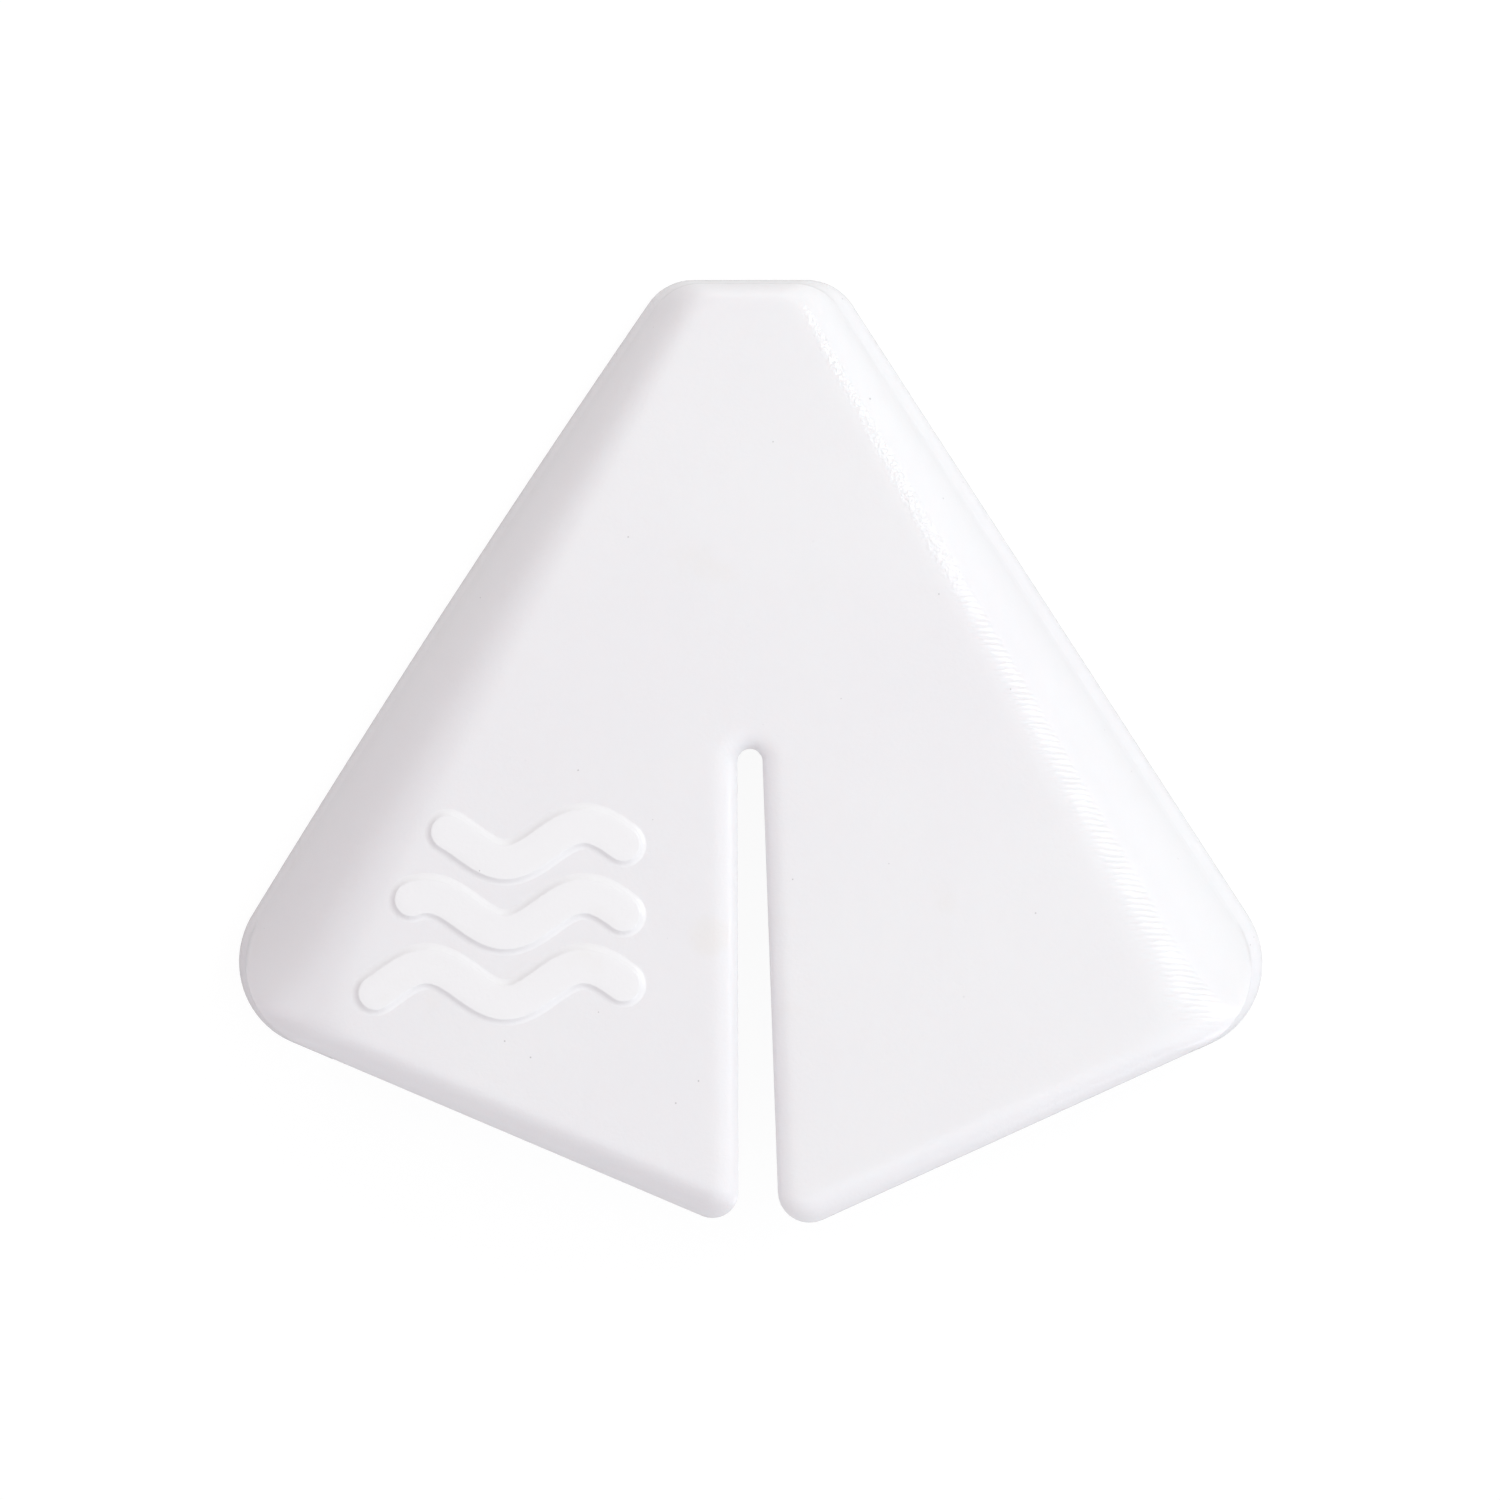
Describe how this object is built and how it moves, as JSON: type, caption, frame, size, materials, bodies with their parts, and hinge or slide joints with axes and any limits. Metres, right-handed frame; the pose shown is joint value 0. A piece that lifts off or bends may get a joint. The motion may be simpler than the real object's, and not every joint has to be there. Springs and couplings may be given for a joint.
{
  "type": "surfboard nose guard",
  "caption": "Soft kite-shaped rubber nose guard with a flex slot, a raised wave mark and peel-off adhesive pads under its roof.",
  "frame": {"origin": "middle of the object's outline, on the rim plane it rests on", "axes": "+Y towards the narrow tip, +Z out of the face, +X to the right seen from above the face"},
  "size_m": [0.0849, 0.0782, 0.0146],
  "materials": {
    "silicone": "satin",
    "adhesive_foam": "matte",
    "liner_film": "gloss"
  },
  "bodies": {
    "left_side": {"left_half": "silicone", "flex_web": "silicone", "raised_mark": "silicone", "left_adhesive_pad": "adhesive_foam"},
    "right_side": {"right_half": "silicone", "right_adhesive_pad": "adhesive_foam"},
    "left_liner": {"left_release_liner": "liner_film"},
    "right_liner": {"right_release_liner": "liner_film"}
  },
  "joints": [
    {"name": "slot_flex", "type": "hinge", "parent": "left_side", "child": "right_side", "pos_m": [0, 0.023, 0.008], "axis": [0, 0, 1], "range_deg": [-2.5, 3.5], "stiffness_Nm_per_rad": 2.5, "deforming": ["flex_web"]},
    {"name": "left_liner_peel", "type": "slide", "parent": "left_side", "child": "left_liner", "axis": [0, -0.9956, 0.0939], "range_m": [0, 0.06]},
    {"name": "right_liner_peel", "type": "slide", "parent": "right_side", "child": "right_liner", "axis": [0, -0.9956, 0.0939], "range_m": [0, 0.06]}
  ]
}
